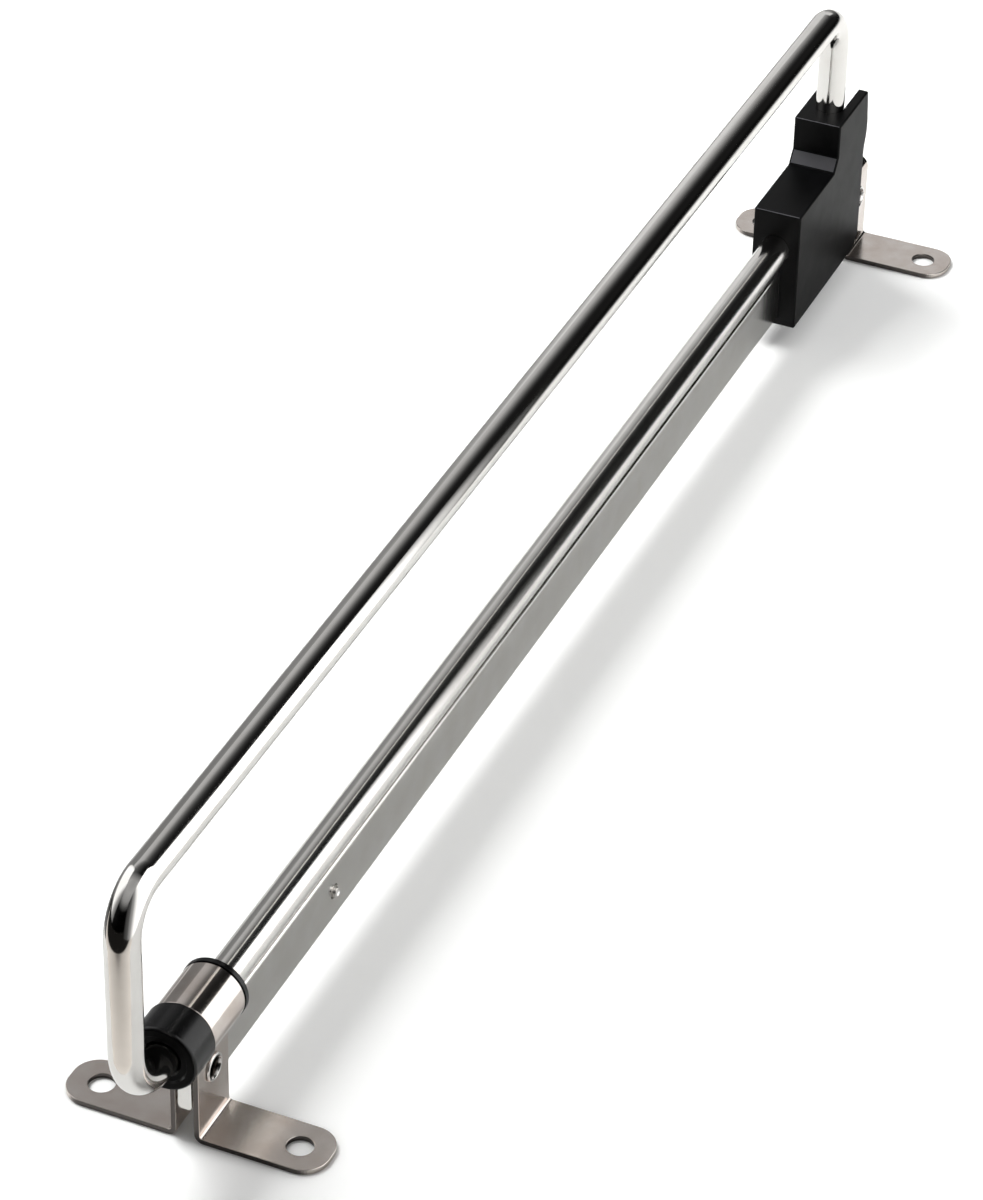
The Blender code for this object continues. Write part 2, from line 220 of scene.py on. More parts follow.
def close_piece():
    bpy.ops.mesh.select_all(action="SELECT")
    bpy.ops.mesh.remove_doubles(threshold=MERGE)
    bpy.ops.mesh.normals_make_consistent(inside=False)
    bpy.ops.mesh.select_all(action="DESELECT")
    bpy.ops.object.mode_set(mode="OBJECT")


def pick_faces(piece, wanted):
    """Selects the faces whose middle and normal pass the test, and nothing else."""
    bpy.ops.mesh.select_mode(type="FACE")
    bpy.ops.mesh.select_all(action="DESELECT")
    shape = bmesh.from_edit_mesh(piece.data)
    for face in shape.faces:
        if wanted(face.calc_center_median(), face.normal):
            face.select_set(True)
    bmesh.update_edit_mesh(piece.data)


def pick_edges(piece, wanted):
    """Selects the edges whose two ends pass the test, and nothing else."""
    bpy.ops.mesh.select_mode(type="EDGE")
    bpy.ops.mesh.select_all(action="DESELECT")
    shape = bmesh.from_edit_mesh(piece.data)
    for edge in shape.edges:
        if wanted(edge.verts[0].co, edge.verts[1].co):
            edge.select_set(True)
    bmesh.update_edit_mesh(piece.data)


def pick_points(piece, wanted):
    """Selects the points whose place passes the test, and nothing else."""
    bpy.ops.mesh.select_mode(type="VERT")
    bpy.ops.mesh.select_all(action="DESELECT")
    shape = bmesh.from_edit_mesh(piece.data)
    for point in shape.verts:
        if wanted(point.co):
            point.select_set(True)
    shape.select_flush_mode()
    bmesh.update_edit_mesh(piece.data)


def same(a, b):
    return abs(a - b) < TINY


def draw_out(x, y, z):
    bpy.ops.mesh.extrude_region_move(TRANSFORM_OT_translate={"value": (x, y, z)})


def swing(centre, axis, degrees, steps):
    """Draws the selected end round a bend, right-handed about the axis."""
    bpy.ops.mesh.spin(steps=steps, angle=-math.radians(degrees), center=centre, axis=axis)


def bisect_at(place, normal):
    bpy.ops.mesh.select_all(action="SELECT")
    bpy.ops.mesh.bisect(plane_co=place, plane_no=normal)


def round_edges(radius, segments):
    bpy.ops.mesh.bevel(offset=radius, segments=segments, profile=0.5, affect="EDGES")


def apply_all(piece):
    take_up(piece)
    for modifier in list(piece.modifiers):
        bpy.ops.object.modifier_apply(modifier=modifier.name)


def cut_away(piece, cutter):
    cut = piece.modifiers.new("cut", "BOOLEAN")
    cut.operation = "DIFFERENCE"
    cut.solver = "EXACT"
    cut.object = cutter
    apply_all(piece)
    bpy.data.objects.remove(cutter, do_unlink=True)


def split_twisted(piece):
    """Splits the faces that aren't quite flat, because a cut through one can tear the mesh."""
    open_again(piece)
    bpy.ops.mesh.vert_connect_nonplanar(angle_limit=math.radians(0.1))
    close_piece()


def drill(piece, radius, depth, middle, turn=(0, 0, 0)):
    put_down()
    bpy.ops.mesh.primitive_cylinder_add(vertices=64, radius=radius, depth=depth, location=middle,
                                        rotation=turn)
    cut_away(piece, bpy.context.active_object)


def break_edges(piece, width, segments, sharp=40):
    """Bevels the edges that turn by more than the given degrees."""
    edges = piece.modifiers.new("edges", "BEVEL")
    edges.width = width
    edges.segments = segments
    edges.limit_method = "ANGLE"
    edges.angle_limit = math.radians(sharp)
    edges.use_clamp_overlap = True
    apply_all(piece)


def smooth_rounds(piece, degrees):
    """Keeps flat faces flat while round ones shade smoothly."""
    take_up(piece)
    bpy.ops.object.shade_smooth_by_angle(angle=math.radians(degrees))
    even = piece.modifiers.new("even", "WEIGHTED_NORMAL")
    even.weight = 60
    even.keep_sharp = True
    apply_all(piece)


def mark_faces(piece, share):
    """Keeps on the piece how much of its second tone each face takes."""
    marks = piece.data.attributes.new("second_tone", "FLOAT", "FACE")
    for face in piece.data.polygons:
        marks.data[face.index].value = min(1.0, max(0.0, share(face.center, face.normal)))


def turn_up(name, profile, axis, place, sides, closed):
    """Turned piece: a ring drawn out, wider or narrower, from step to step of the profile."""
    line = Vector((1, 0, 0)) if axis == "X" else Vector((0, 1, 0))
    place = Vector(place)
    radius, height = profile[0]
    put_down()
    bpy.ops.mesh.primitive_circle_add(vertices=sides, radius=radius,
                                      fill_type="NOTHING" if closed else "NGON",
                                      location=place + line * height,
                                      rotation=ALONG_X if axis == "X" else ALONG_Y)
    piece = start_piece(name, pick="EDGE" if closed else "FACE")
    for next_radius, next_height in profile[1:]:
        draw_out(*(line * (next_height - height)))
        grow = next_radius / radius
        size = (1, grow, grow) if axis == "X" else (grow, 1, grow)
        bpy.ops.transform.resize(value=size, center_override=place + line * next_height)
        radius, height = next_radius, next_height
    close_piece()
    return piece


def round_corner(centre, radius, start, end, steps):
    """Points of a profile's rounded corner, as radius and height."""
    points = []
    for i in range(steps + 1):
        angle = math.radians(start + (end - start) * i / steps)
        points.append((centre[0] + radius * math.cos(angle), centre[1] + radius * math.sin(angle)))
    return points


# Wire loop

def make_wire_loop():
    """Round end drawn along the lower run, the front leg, the upper run and the rear leg."""
    put_down()
    bpy.ops.mesh.primitive_circle_add(vertices=64, radius=WIRE_R, fill_type="NGON",
                                      location=(0, Y_ROD_END, ROD_Z), rotation=ALONG_Y)
    wire = start_piece("wire_loop", pick="FACE")
    low = (0, Y_FRONT_LEG + LOW_BEND_R, ROD_Z + LOW_BEND_R)
    high = (0, Y_FRONT_LEG + HIGH_BEND_R, TOP_Z - HIGH_BEND_R)
    rear = (0, Y_REAR_LEG - REAR_BEND_R, TOP_Z - REAR_BEND_R)
    draw_out(0, low[1] - Y_ROD_END, 0)
    swing(low, (1, 0, 0), -90, 28)
    draw_out(0, 0, high[2] - low[2])
    swing(high, (1, 0, 0), -90, 24)
    draw_out(0, rear[1] - high[1], 0)
    swing(rear, (1, 0, 0), -90, 24)
    draw_out(0, 0, LEG_END_Z - rear[2])
    close_piece()
    smooth_rounds(wire, 50)
    return wire


# Folded strips

def begin_strip(name, y):
    """End face of the strip at the right foot's tip, drawn in to the ear and bent up."""
    put_down()
    bpy.ops.mesh.primitive_plane_add(size=1, location=(FOOT_TIP, y, SHEET / 2), rotation=ALONG_X)
    strip = start_piece(name, (SHEET, STRIP_W, 1), "FACE")
    draw_out(EAR_MID + FOOT_BEND_R - FOOT_TIP, 0, 0)
    swing((EAR_MID + FOOT_BEND_R, y, SHEET / 2 + FOOT_BEND_R), (0, 1, 0), 90, 10)
    return strip


def end_strip(strip, y):
    """Bends the strip into the left foot, rounds both tips and drills the holes."""
    swing((-EAR_MID - FOOT_BEND_R, y, SHEET / 2 + FOOT_BEND_R), (0, 1, 0), 90, 10)
    draw_out(EAR_MID + FOOT_BEND_R - FOOT_TIP, 0, 0)
    bpy.ops.mesh.select_all(action="SELECT")
    bpy.ops.mesh.normals_make_consistent(inside=False)
    pick_edges(strip, lambda a, b: same(abs(a.x), FOOT_TIP) and same(a.x, b.x) and same(a.y, b.y))
    round_edges(TIP_R, 14)
    close_piece()
    for side in (-1, 1):
        drill(strip, SCREW_HOLE_R, FOOT_DRILL, (side * SCREW_X, y, SHEET / 2))
    drill(strip, RIVET_SHANK_R + SLACK, EAR_DRILL, (0, y, BAR_MID), ALONG_X)
    break_edges(strip, STRIP_BREAK, 3)
    smooth_rounds(strip, 35)

    # Painted shade: share of the dark tone on the cut sides and screw-hole walls
    def painted_edge_shade(place, normal):
        from_hole = math.hypot(abs(place.x) - SCREW_X, place.y - y)
        if abs(normal.z) < 0.5 and from_hole < SCREW_HOLE_R + HOLE_WALL:
            return 1
        return (abs(normal.y) - CUT_SIDE_FROM) / CUT_SIDE_OVER

    mark_faces(strip, painted_edge_shade)


def make_front_strip():
    """Strip that closes round the bush in a loop over its two ears."""
    reach = EAR_MID + NECK_R
    drop = math.sqrt((LOOP_R + NECK_R) ** 2 - reach ** 2)
    turn = math.degrees(math.atan2(drop, reach))
    neck_z = ROD_Z - drop
    ear = neck_z - SHEET / 2 - FOOT_BEND_R
    strip = begin_strip("front_strip", Y_FRONT)
    draw_out(0, 0, ear)
    swing((reach, Y_FRONT, neck_z), (0, 1, 0), turn, 6)
    swing((0, Y_FRONT, ROD_Z), (0, 1, 0), -180 - 2 * turn, 64)
    swing((-reach, Y_FRONT, neck_z), (0, 1, 0), turn, 6)
    draw_out(0, 0, -ear)
    end_strip(strip, Y_FRONT)
    return strip


def make_rear_strip():
    """Strip folded over the top of the bar like a hairpin."""
    ear = HAIRPIN_Z - SHEET / 2 - FOOT_BEND_R
    strip = begin_strip("rear_strip", Y_REAR)
    draw_out(0, 0, ear)
    swing((0, Y_REAR, HAIRPIN_Z), (0, 1, 0), -180, 24)
    draw_out(0, 0, -ear)
    end_strip(strip, Y_REAR)
    return strip


# Bar, rivets and stop pin

def bar_length(name, y, length, room=0, segments=6):
    """Length of bar with its rounded edges, the middle at y; room makes it larger, for a cutter."""
    put_down()
    bpy.ops.mesh.primitive_cube_add(size=1, location=(0, y, BAR_MID))
    bar = start_piece(name, (BAR_T + 2 * room, length, BAR_H + 2 * room))
    pick_edges(bar, lambda a, b: same(a.x, b.x) and same(a.z, b.z))
    round_edges(BAR_EDGE_R, segments)
    close_piece()
    return bar


def make_flat_bar():
    bar = bar_length("flat_bar", (BAR_FRONT + BAR_BACK) / 2, BAR_BACK - BAR_FRONT, segments=8)
    for y, radius in ((Y_FRONT, RIVET_SHANK_R + SLACK), (Y_REAR, RIVET_SHANK_R + SLACK),
                      (Y_STOP_PIN, STOP_PIN_R + STOP_PIN_GAP)):
        drill(bar, radius, BAR_DRILL, (0, y, BAR_MID), ALONG_X)
    break_edges(bar, BAR_BREAK, 2)
    smooth_rounds(bar, 35)
    return bar


def make_tube_rivet(name, y):
    """Tubular rivet, its ends rolled over onto the ears and open in a wide mouth."""
    seat = EAR_OUT + TINY
    rim = RIVET_FLANGE_R - RIVET_ROLL
    top = seat + 2 * RIVET_ROLL
    edge = RIVET_MOUTH_EDGE
    end = [(RIVET_SHANK_R, seat)]
    end += round_corner((rim, seat + RIVET_ROLL), RIVET_ROLL, -90, 90, 8)
    end += round_corner((RIVET_MOUTH_R + edge, top - edge), edge, 90, 180, 4)
    end += [(RIVET_BORE_R + RIVET_THROAT, EAR_OUT - RIVET_THROAT_IN),
            (RIVET_BORE_R, EAR_OUT - RIVET_BORE_IN)]
    profile = end + [(radius, -height) for radius, height in reversed(end)]
    rivet = turn_up(name, profile + profile[:1], "X", (0, y, BAR_MID), 64, True)
    smooth_rounds(rivet, 40)
    return rivet


def make_stop_pin():
    """Pin through the bar, its two ends turned down a little and dished."""
    face = BAR_T / 2
    edge = STOP_PIN_EDGE_R
    half = [(STOP_PIN_R, face - 2 * STOP_PIN_NECK_STEP),
            (STOP_PIN_NECK_R, face - STOP_PIN_NECK_STEP)]
    half += round_corner((STOP_PIN_NECK_R - edge, STOP_PIN_END - edge), edge, 0, 90, 4)
    half += [(radius, STOP_PIN_END - depth) for radius, depth in STOP_PIN_DISH]
    profile = [(radius, -height) for radius, height in reversed(half)] + half
    pin = turn_up("bar_stop", profile, "X", (0, Y_STOP_PIN, BAR_MID), 40, False)
    smooth_rounds(pin, 40)
    return pin


# Bush

def make_bush():
    """Spool: a thick rounded head in front of the strip's loop and a thin lip behind it."""
    dish_floor = Y_HEAD_FRONT + HEAD_DISH_DEPTH
    rim = (HEAD_R - HEAD_EDGE_R, Y_HEAD_FRONT + HEAD_EDGE_R)
    profile = [(BUSH_BORE_R, Y_LIP_BACK - BUSH_BORE_EDGE),
               (BUSH_BORE_R + BUSH_BORE_EDGE, Y_LIP_BACK),
               (LIP_R - BUSH_EDGE, Y_LIP_BACK), (LIP_R, Y_LIP_BACK - BUSH_EDGE),
               (LIP_R, Y_LIP_FRONT), (BUSH_R, Y_LIP_FRONT), (BUSH_R, Y_HEAD_BACK),
               (HEAD_R - BUSH_EDGE, Y_HEAD_BACK), (HEAD_R, Y_HEAD_BACK - BUSH_EDGE)]
    profile += round_corner(rim, HEAD_EDGE_R, 0, -90, 8)
    profile += [(HEAD_DISH_R + HEAD_DISH_DEPTH, Y_HEAD_FRONT), (HEAD_DISH_R, dish_floor),
                (BUSH_BORE_R + BUSH_EDGE, dish_floor), (BUSH_BORE_R, dish_floor + BUSH_EDGE)]
    bush = turn_up("spool_bush", profile + profile[:1], "Y", (0, 0, ROD_Z), 96, True)
    cut_away(bush, bar_length("notch", Y_LIP_BACK, NOTCH_L, SLACK))
    smooth_rounds(bush, 38)
    return bush


def dull_front(bush, finish):
    """Gives the front of the bush's head, with its dish, the finish left by the mould."""
    bush.data.materials.append(finish)
    for face in bush.data.polygons:
        if face.normal.y < -HEAD_FACING and face.center.y < Y_HEAD_FRONT + HEAD_FRONT_DEPTH:
            face.material_index = 1


# Carriage

def make_carriage_block():
    """Moulded block: a low front, a sloping step and a tower that leans over the rear strip."""
    middle = (Y_CARRIAGE + Y_CARRIAGE_BACK) / 2
    length = Y_CARRIAGE_BACK - Y_CARRIAGE
    step = Y_TOWER - STEP_RUN
    step_top = ROOF_Z + STEP_RISE
    overhang_end = ROOF_Z - OVERHANG_DROP
    put_down()
    bpy.ops.mesh.primitive_cube_add(size=1, location=(0, middle, (CARRIAGE_BOTTOM + ROOF_Z) / 2))
    block = start_piece("carriage_block", (CARRIAGE_W, length, ROOF_Z - CARRIAGE_BOTTOM))
    bisect_at((0, step, 0), (0, 1, 0))
    bisect_at((0, 0, overhang_end), (0, 0, 1))
    pick_faces(block, lambda centre, normal: normal.z > FACING and centre.y > step)
    draw_out(0, 0, STEP_RISE)
    pick_edges(block, lambda a, b: same(a.z, step_top) and same(b.z, step_top)
               and same(a.y, step) and same(b.y, step))
    bpy.ops.transform.translate(value=(0, STEP_RUN, 0))
    pick_faces(block, lambda centre, normal: normal.z > FACING and same(centre.z, step_top))
    draw_out(0, 0, TOWER_Z - ROOF_Z - STEP_RISE)
    pick_points(block, lambda place: same(place.y, Y_CARRIAGE_BACK) and place.z > ROOF_Z - TINY)
    bpy.ops.transform.translate(value=(0, TOWER_OVERHANG, 0))
    pick_points(block, lambda place: place.y > Y_CARRIAGE_BACK and same(place.z, TOWER_Z))
    bpy.ops.transform.translate(value=(0, -TOWER_TAPER, 0))
    pick_edges(block, lambda a, b: same(a.z, CARRIAGE_BOTTOM) and same(b.z, CARRIAGE_BOTTOM)
               and same(a.y, Y_CARRIAGE_BACK) and same(b.y, Y_CARRIAGE_BACK))
    bpy.ops.mesh.bevel(offset=HEEL_CHAMFER, segments=1, affect="EDGES")
    for height in (overhang_end, ROOF_Z):
        pick_edges(block, lambda a, b: a.y > Y_CARRIAGE_BACK - TINY and same(a.y, b.y)
                   and same(a.z, height) and same(b.z, height))
        round_edges(OVERHANG_R, 5)
    close_piece()
    break_edges(block, CARRIAGE_BREAK, 3, 34)
    split_twisted(block)
    cut_away(block, bar_length("bar_slot", middle, length + 2 * PAST, SLACK))
    cut_leg_groove(block)
    socket_back = Y_ROD_END + SLACK
    socket_front = Y_CARRIAGE - PAST
    drill(block, WIRE_R + SLACK, socket_back - socket_front,
          (0, (socket_back + socket_front) / 2, ROD_Z), ALONG_Y)
    open_again(block)
    close_piece()
    smooth_rounds(block, 33)
    # The sloping step is marked for the painted sheen of the carriage's finish
    slope = Vector((0, -STEP_RISE, STEP_RUN)).normalized()
    mark_faces(block, lambda place, normal: 1 if normal.dot(slope) > STEP_FACING else 0)
    return block


def cut_leg_groove(block):
    """Groove that the rear leg enters from the back: round in front, flared at its mouth."""
    floor = LEG_END_Z - SLACK
    top = TOWER_Z + PAST
    middle_z = (top + floor) / 2
    radius = WIRE_R + SLACK
    drill(block, radius, top - floor, (0, Y_REAR_LEG, middle_z))
    mouth = Y_CARRIAGE_BACK + TOWER_OVERHANG
    back = mouth + GROOVE_FLARE_RUN
    put_down()
    bpy.ops.mesh.primitive_cube_add(size=1, location=(0, (Y_REAR_LEG + back) / 2, middle_z))
    groove = start_piece("leg_groove", (2 * radius, back - Y_REAR_LEG, top - floor))
    bisect_at((0, mouth - GROOVE_FLARE_RUN, 0), (0, 1, 0))
    pick_points(groove, lambda place: same(place.y, back))
    wide = 1 + 2 * GROOVE_FLARE / radius
    bpy.ops.transform.resize(value=(wide, 1, 1), center_override=(0, back, floor))
    close_piece()
    cut_away(block, groove)


# Steps of a finish

def worked_out(nodes, links, operation, *values):
    """One step of arithmetic on numbers and on the outputs of other steps."""
    result = nodes.new("ShaderNodeMath")
    result.operation = operation
    for socket, value in zip(result.inputs, values):
        if isinstance(value, float):
            socket.default_value = value
        else:
            links.new(value, socket)
    return result.outputs[0]


def on_piece(nodes, links, axis):
    """How far along one axis a place on the piece or card lies."""
    place = nodes.new("ShaderNodeTexCoord")
    axes = nodes.new("ShaderNodeSeparateXYZ")
    links.new(place.outputs["Object"], axes.inputs[0])
    return axes.outputs[axis]


def grain(nodes, links, stretch, scale, detail):
    """Noise on the piece's own coordinates, drawn out by the stretch along each axis."""
    place = nodes.new("ShaderNodeTexCoord")
    drawn = nodes.new("ShaderNodeMapping")
    drawn.inputs["Scale"].default_value = stretch
    noise = nodes.new("ShaderNodeTexNoise")
    noise.inputs["Scale"].default_value = scale
    noise.inputs["Detail"].default_value = detail
    noise.inputs["Roughness"].default_value = GRAIN_ROUGHNESS
    links.new(place.outputs["Object"], drawn.inputs["Vector"])
    links.new(drawn.outputs["Vector"], noise.inputs["Vector"])
    return noise.outputs["Fac"]


def spread(nodes, links, value, low, high, start=GRAIN_RANGE[0], end=GRAIN_RANGE[1]):
    """Carries a value that runs from start to end over to the range from low to high."""
    range_node = nodes.new("ShaderNodeMapRange")
    range_node.inputs["From Min"].default_value = start
    range_node.inputs["From Max"].default_value = end
    range_node.inputs["To Min"].default_value = low
    range_node.inputs["To Max"].default_value = high
    links.new(value, range_node.inputs["Value"])
    return range_node.outputs["Result"]


def away_from_middle(nodes, links, axis, start, end):
    """Share from 0 to 1 by how far a place reaches along one axis, on both sides."""
    reach = worked_out(nodes, links, "ABSOLUTE", on_piece(nodes, links, axis))
    return spread(nodes, links, reach, 0.0, 1.0, start, end)


def marked(nodes):
    mark = nodes.new("ShaderNodeAttribute")
    mark.attribute_name = "second_tone"
    return mark.outputs["Fac"]


def two_tone(nodes, links, value, dark, light):
    ramp = nodes.new("ShaderNodeValToRGB")
    for mark, position, tone in zip(ramp.color_ramp.elements, GRAIN_RANGE, (dark, light)):
        mark.position = position
        mark.color = (*tone, 1)
    links.new(value, ramp.inputs["Fac"])
    return ramp.outputs["Color"]


def mixed(nodes, links, share, first, second):
    """Blend of two tones, each a colour or the output of another step."""
    blend = nodes.new("ShaderNodeMix")
    blend.data_type = "RGBA"
    links.new(share, blend.inputs["Factor"])
    for socket, tone in ((blend.inputs["A"], first), (blend.inputs["B"], second)):
        if isinstance(tone, tuple):
            socket.default_value = (*tone, 1)
        else:
            links.new(tone, socket)
    return blend.outputs["Result"]


def soft_ramp(nodes, links, value, stops, tint=WHITE):
    """Brightness that follows a value between -1 and 1, given as pairs of value and brightness."""
    unit = spread(nodes, links, value, 0.0, 1.0, -1.0, 1.0)
    ramp = nodes.new("ShaderNodeValToRGB")
    marks = ramp.color_ramp.elements
    while len(marks) < len(stops):
        marks.new(0.5)
    for mark, (place, bright) in zip(marks, stops):
        mark.position = (place + 1) / 2
        mark.color = (*(bright * share for share in tint), 1)
    links.new(unit, ramp.inputs["Fac"])
    return ramp.outputs["Color"]


def relief(nodes, links, value, strength, depth):
    bump = nodes.new("ShaderNodeBump")
    bump.inputs["Strength"].default_value = strength
    bump.inputs["Distance"].default_value = depth
    links.new(value, bump.inputs["Height"])
    return bump.outputs["Normal"]


# Finishes

def new_finish(name):
    finish = bpy.data.materials.new(name)
    finish.use_nodes = True
    return finish, finish.node_tree.nodes, finish.node_tree.links


def plated(name, dark, light, rough, stretch, lines, depth, painted_cut_shade=None, painted_bore_shade=None,
           worn_below=None, worn_within=None):
    """Nickel plate: fine lines left by drawing or rolling, and soft patches in tone and gloss.

    Painted shade: a strip's cut sides and the walls of its screw holes, and the bore of a rivet,
    take a dark tone.  The low part of a strip and the run of wire that slides in the bush are
    duller: worn_below gives the heights where that starts and is full, and by how much;
    worn_within keeps it between the ends.
    """
    finish, nodes, links = new_finish(name)
    shader = nodes["Principled BSDF"]
    shader.inputs["Metallic"].default_value = 1.0
    patches = grain(nodes, links, (1, 1, 1), PATCH_SCALE, SOFT_DETAIL)
    streaks = grain(nodes, links, stretch, lines, FINE_DETAIL)
    tone = two_tone(nodes, links, patches, dark, light)
    # Painted shade: dark tone on a strip's marked cut sides and hole walls
    if painted_cut_shade:
        tone = mixed(nodes, links, marked(nodes), tone, painted_cut_shade)
    # Painted shade: dark tone deep in a rivet's bore
    if painted_bore_shade:
        bore_shade_share = away_from_middle(nodes, links, "X", *BORE_SHADE_REACH)
        tone = mixed(nodes, links, bore_shade_share, tone, painted_bore_shade)
    links.new(tone, shader.inputs["Base Color"])
    gloss = spread(nodes, links, streaks, *rough)
    if worn_below:
        start, end, dulling = worn_below
        wear = away_from_middle(nodes, links, "Z", start, end)
        if worn_within:
            between = away_from_middle(nodes, links, "Y", *worn_within)
            wear = worked_out(nodes, links, "MULTIPLY", wear, between)
        gloss = worked_out(nodes, links, "MULTIPLY_ADD", wear, dulling, gloss)
    links.new(gloss, shader.inputs["Roughness"])
    links.new(relief(nodes, links, streaks, PLATE_RELIEF, depth), shader.inputs["Normal"])
    return finish


def moulded(name, shine, rough, sparkle, depth, painted_step_sheen=None):
    """Black moulded plastic with a fine spark grain; the carriage's sloping step takes a lighter
    grey, a painted sheen.
    """
    finish, nodes, links = new_finish(name)
    shader = nodes["Principled BSDF"]
    shader.inputs["Specular IOR Level"].default_value = shine
    clouds = grain(nodes, links, (1, 1, 1), CLOUD_SCALE, SOFT_DETAIL)
    sparks = grain(nodes, links, (1, 1, 1), sparkle, FINE_DETAIL)
    tone = two_tone(nodes, links, clouds, (0.0015, 0.0015, 0.0017), (0.003, 0.003, 0.0033))
    # Painted sheen: the marked step takes a lighter grey
    if painted_step_sheen:
        tone = mixed(nodes, links, marked(nodes), tone, painted_step_sheen)
    links.new(tone, shader.inputs["Base Color"])
    links.new(spread(nodes, links, clouds, *rough), shader.inputs["Roughness"])
    links.new(relief(nodes, links, sparks, PLASTIC_RELIEF, depth), shader.inputs["Normal"])
    return finish


def fit(piece, body, node, finish):
    """Gives a finished piece its finish, its body and the solid that it stands for."""
    piece.data.materials.clear()
    piece.data.materials.append(finish)
    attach(piece, body)
    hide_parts(node)


# Floor, light and camera

def make_floor():
    """Pale floor that keeps the shadow; a glow, stronger far away, lifts it to white."""
    put_down()
    bpy.ops.mesh.primitive_plane_add(size=FLOOR_SIZE, location=(0, 0, 0))
    floor = bpy.context.active_object
    floor.name = "floor"
    finish, nodes, links = new_finish("pale_floor")
    nodes.clear()
    paper = nodes.new("ShaderNodeBsdfDiffuse")
    paper.inputs["Color"].default_value = (*FLOOR_TONE, 1)
    place = nodes.new("ShaderNodeTexCoord")
    away = nodes.new("ShaderNodeVectorMath")
    away.operation = "LENGTH"
    links.new(place.outputs["Object"], away.inputs[0])
    lift = spread(nodes, links, away.outputs["Value"], *GLOW, *GLOW_REACH)
    path = nodes.new("ShaderNodeLightPath")
    in_view = worked_out(nodes, links, "MULTIPLY", path.outputs["Is Camera Ray"], lift)
    shown = worked_out(nodes, links, "MULTIPLY_ADD", path.outputs["Is Glossy Ray"], METAL_GLOW,
                       in_view)
    # Painted shade: ambient occlusion dims the glow where parts stand close over the floor
    corners = nodes.new("ShaderNodeAmbientOcclusion")
    corners.samples = 8
    corners.inputs["Distance"].default_value = CORNER_REACH
    shade = worked_out(nodes, links, "POWER", corners.outputs["AO"], CORNER_POWER)
    glow = nodes.new("ShaderNodeEmission")
    glow.inputs["Color"].default_value = (*WHITE, 1)
    links.new(worked_out(nodes, links, "MULTIPLY", shown, shade), glow.inputs["Strength"])
    both = nodes.new("ShaderNodeAddShader")
    out = nodes.new("ShaderNodeOutputMaterial")
    links.new(paper.outputs[0], both.inputs[0])
    links.new(glow.outputs[0], both.inputs[1])
    links.new(both.outputs[0], out.inputs["Surface"])
    floor.data.materials.append(finish)


def make_card(name, low, high, axis, stops, strength=1.0, tint=WHITE):
    """Card that only reflections show, flat or upright, its brightness given along one axis."""
    put_down()
    size = [high[i] - low[i] for i in range(3)]
    turn, stretch = (0, 0, 0), (size[0], size[1], 1)
    if size[0] == 0:
        turn, stretch = ALONG_X, (size[2], size[1], 1)
    if size[1] == 0:
        turn, stretch = ALONG_Y, (size[0], size[2], 1)
    middle = [(high[i] + low[i]) / 2 for i in range(3)]
    bpy.ops.mesh.primitive_plane_add(size=1, location=middle, rotation=turn)
    card = bpy.context.active_object
    card.name = name
    card.scale = stretch
    bpy.ops.object.transform_apply(location=True, rotation=True, scale=True)
    card.visible_camera = False
    card.visible_diffuse = False
    card.visible_shadow = False
    card.visible_transmission = False
    card.visible_volume_scatter = False
    finish, nodes, links = new_finish(name)
    nodes.clear()
    glow = nodes.new("ShaderNodeEmission")
    glow.inputs["Strength"].default_value = strength
    bright = soft_ramp(nodes, links, on_piece(nodes, links, axis), stops, tint)
    out = nodes.new("ShaderNodeOutputMaterial")
    links.new(bright, glow.inputs["Color"])
    links.new(glow.outputs[0], out.inputs["Surface"])
    card.data.materials.append(finish)


def make_room():
    """Studio round the table: a lit wall behind on the left that fades upwards, dark in front."""
    world = bpy.data.worlds.new("studio")
    bpy.context.scene.world = world
    world.use_nodes = True
    nodes, links = world.node_tree.nodes, world.node_tree.links
    nodes.clear()
    place = nodes.new("ShaderNodeTexCoord")
    axes = nodes.new("ShaderNodeSeparateXYZ")
    links.new(place.outputs["Generated"], axes.inputs[0])
    height = soft_ramp(nodes, links, axes.outputs["Z"],
                       [(-1.0, 0.30), (0.0, 0.22), (0.10, 0.36), (0.20, 0.66), (0.33, 0.70),
                        (0.45, 0.52), (0.55, 0.50), (0.66, 0.46), (0.75, 0.22), (0.85, 0.10),
                        (1.0, 0.08)])
    left = soft_ramp(nodes, links, axes.outputs["X"],
                     [(-1.0, 1.0), (-0.42, 1.0), (-0.31, 0.88), (-0.20, 0.62), (-0.05, 0.33),
                      (0.08, 0.14), (0.20, 0.05), (0.30, 0.02), (1.0, 0.0)])
    behind = soft_ramp(nodes, links, axes.outputs["Y"],
                       [(-1.0, 0.0), (-0.2, 0.02), (0.2, 1.0), (1.0, 1.0)])
    overhead = soft_ramp(nodes, links, axes.outputs["Z"],
                         [(-1.0, 0.0), (0.56, 0.0), (0.66, 0.08), (0.78, 0.30), (0.92, 0.40),
                          (1.0, 0.34)])
    in_front = soft_ramp(nodes, links, axes.outputs["Y"],
                         [(-1.0, 1.0), (0.0, 1.0), (0.25, 0.0), (1.0, 0.0)])
    wall = worked_out(nodes, links, "MULTIPLY", height, left)
    wall = worked_out(nodes, links, "MULTIPLY", wall, behind)
    ceiling = worked_out(nodes, links, "MULTIPLY", overhead, in_front)
    mirrored = worked_out(nodes, links, "ADD", wall, ceiling)
    path = nodes.new("ShaderNodeLightPath")
    shown = mixed(nodes, links, path.outputs["Is Glossy Ray"], ROOM_FILL, mirrored)
    shown = mixed(nodes, links, path.outputs["Is Camera Ray"], shown, WHITE)
    background = nodes.new("ShaderNodeBackground")
    out = nodes.new("ShaderNodeOutputWorld")
    links.new(shown, background.inputs["Color"])
    links.new(background.outputs[0], out.inputs["Surface"])


